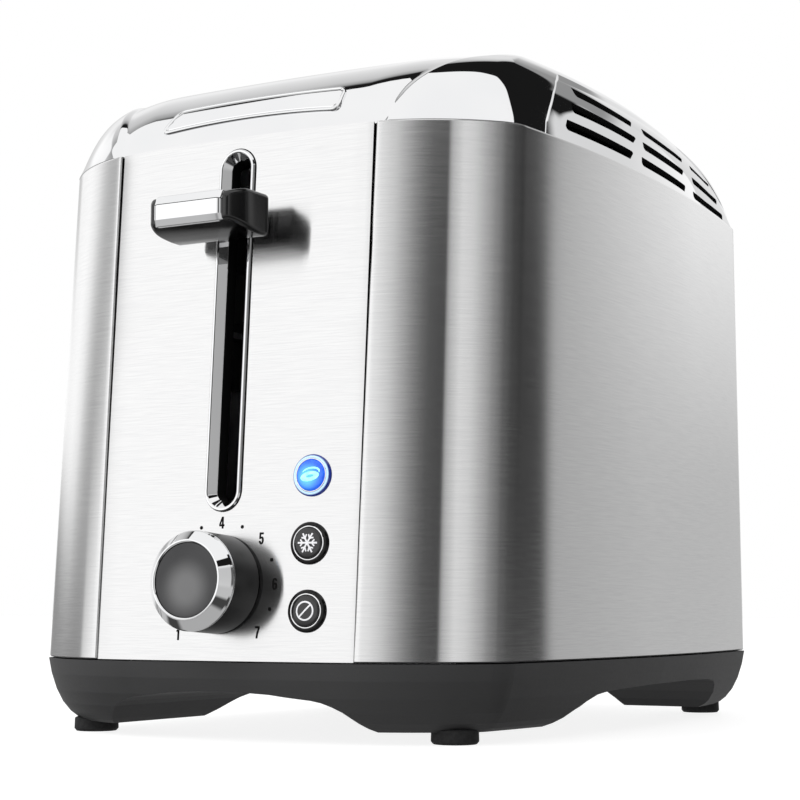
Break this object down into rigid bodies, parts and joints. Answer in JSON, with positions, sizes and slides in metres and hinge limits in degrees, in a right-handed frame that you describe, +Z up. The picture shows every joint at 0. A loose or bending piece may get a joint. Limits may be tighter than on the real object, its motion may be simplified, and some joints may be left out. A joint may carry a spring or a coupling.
{
  "type": "pop up toaster",
  "caption": "Pop-up toaster with two bread slots, brushed steel body, chrome top, lever, browning dial, push buttons and pull-out crumb tray.",
  "frame": {"origin": "centre of the toaster's bounding box in plan, at the underside of the rubber feet", "axes": "+X to the right seen from the control face, -Y towards the control face with the lever, +Z up"},
  "size_m": [0.1784, 0.273, 0.212],
  "materials": {
    "brushed_steel": "horizontal brushed grain, satin",
    "chrome": "polished, mirror",
    "base_plastic": "dark grey, fine matte grain",
    "lever_plastic": "black, polished",
    "button_plastic": null,
    "button_lit": "translucent blue, lit from behind",
    "knob_plastic": "black, satin",
    "knob_metal": "dark grey, fine turned grain",
    "rubber": "matte",
    "sheet_metal": "aluminised steel sheet, slightly dull",
    "steel_wire": "plated wire",
    "bright_steel": "plated",
    "mica": "pale mica board",
    "heater_ribbon": "oxidised resistance ribbon",
    "circuit_board": "green solder mask",
    "component_black": "moulded",
    "copper": "enamelled copper winding",
    "lamp_blue": "clear blue",
    "wire_insulation": "braided sleeve"
  },
  "bodies": {
    "housing": {"base_shell": "base_plastic", "rubber_feet": "rubber", "base_screws": "bright_steel", "bottom_plate": "sheet_metal", "side_wrap_left": "brushed_steel", "side_wrap_right": "brushed_steel", "front_panel": "brushed_steel", "rear_panel": "brushed_steel", "rear_panel_screws": "bright_steel", "top_cap": "chrome", "front_badge": "chrome", "front_chassis_plate": "sheet_metal", "rear_chassis_plate": "sheet_metal", "heat_shield_left": "sheet_metal", "heat_shield_right": "sheet_metal", "rod_bracket": "sheet_metal", "carriage_guide_rods": "bright_steel", "slot_liner_left": "sheet_metal", "slot_liner_right": "sheet_metal", "heater_board_left": "mica", "heater_board_centre": "mica", "heater_board_right": "mica", "heater_wires": "heater_ribbon", "latch_electromagnet": "copper", "slot_bezel": "chrome", "dial_potentiometer": "component_black", "control_board": "circuit_board", "board_components": "component_black", "tact_switches": "component_black", "indicator_led": "lamp_blue", "button_rings": "chrome", "cord_inlet": "base_plastic", "inner_wires": "wire_insulation"},
    "carriage": {"carriage_slider": "component_black", "bread_rack_left": "steel_wire", "bread_rack_right": "steel_wire", "latch_armature": "bright_steel", "lever_arm": "bright_steel", "lever_head": "lever_plastic", "lever_insert": "chrome", "carriage_spring": "bright_steel"},
    "guide_left_outer": {"bread_guide_left_outer": "steel_wire"},
    "guide_left_inner": {"bread_guide_left_inner": "steel_wire"},
    "guide_right_inner": {"bread_guide_right_inner": "steel_wire"},
    "guide_right_outer": {"bread_guide_right_outer": "steel_wire"},
    "dial": {"knob_body": "knob_plastic", "knob_rim": "chrome", "knob_face": "knob_metal", "knob_shaft": "bright_steel"},
    "bagel": {"bagel_button": "button_lit"},
    "frozen": {"frozen_button": "button_plastic"},
    "cancel": {"cancel_button": "button_plastic"},
    "tray": {"crumb_tray": "sheet_metal", "crumb_tray_handle": "base_plastic"}
  },
  "joints": [
    {"name": "lever_slide", "type": "slide", "parent": "housing", "child": "carriage", "axis": [0, 0, -1], "range_m": [-0.014, 0.076], "stiffness_N_per_m": 60, "springref_m": -0.0118, "deforming": ["carriage_spring"]},
    {"name": "guide_left_outer_pivot", "type": "hinge", "parent": "housing", "child": "guide_left_outer", "pos_m": [-0.0435, 0.01275, 0.03], "axis": [0, 1, 0], "range_deg": [-1, 4.7]},
    {"name": "guide_left_inner_pivot", "type": "hinge", "parent": "housing", "child": "guide_left_inner", "pos_m": [-0.0095, 0.01275, 0.03], "axis": [0, -1, 0], "range_deg": [-1, 4.7]},
    {"name": "guide_right_inner_pivot", "type": "hinge", "parent": "housing", "child": "guide_right_inner", "pos_m": [0.0095, 0.01275, 0.03], "axis": [0, 1, 0], "range_deg": [-1, 4.7]},
    {"name": "guide_right_outer_pivot", "type": "hinge", "parent": "housing", "child": "guide_right_outer", "pos_m": [0.0435, 0.01275, 0.03], "axis": [0, -1, 0], "range_deg": [-1, 4.7]},
    {"name": "knob_turn", "type": "hinge", "parent": "housing", "child": "dial", "pos_m": [0, -0.12281, 0.04552], "axis": [0, -0.998, 0.064], "range_deg": [-135, 135]},
    {"name": "bagel_press", "type": "slide", "parent": "housing", "child": "bagel", "axis": [-0.0541, 0.9965, -0.0639], "range_m": [0, 0.0016], "stiffness_N_per_m": 800, "springref_m": -0.0005},
    {"name": "frozen_press", "type": "slide", "parent": "housing", "child": "frozen", "axis": [-0.0541, 0.9965, -0.0639], "range_m": [0, 0.0016], "stiffness_N_per_m": 800, "springref_m": -0.0005},
    {"name": "cancel_press", "type": "slide", "parent": "housing", "child": "cancel", "axis": [-0.0541, 0.9965, -0.0639], "range_m": [0, 0.0016], "stiffness_N_per_m": 800, "springref_m": -0.0005},
    {"name": "tray_slide", "type": "slide", "parent": "housing", "child": "tray", "axis": [0, 1, 0], "range_m": [0, 0.19]}
  ],
  "couplings": [
    {"joint": "guide_left_outer_pivot", "follows": "lever_slide", "rad_per_m": 1.033},
    {"joint": "guide_left_inner_pivot", "follows": "lever_slide", "rad_per_m": 1.033},
    {"joint": "guide_right_inner_pivot", "follows": "lever_slide", "rad_per_m": 1.033},
    {"joint": "guide_right_outer_pivot", "follows": "lever_slide", "rad_per_m": 1.033}
  ]
}
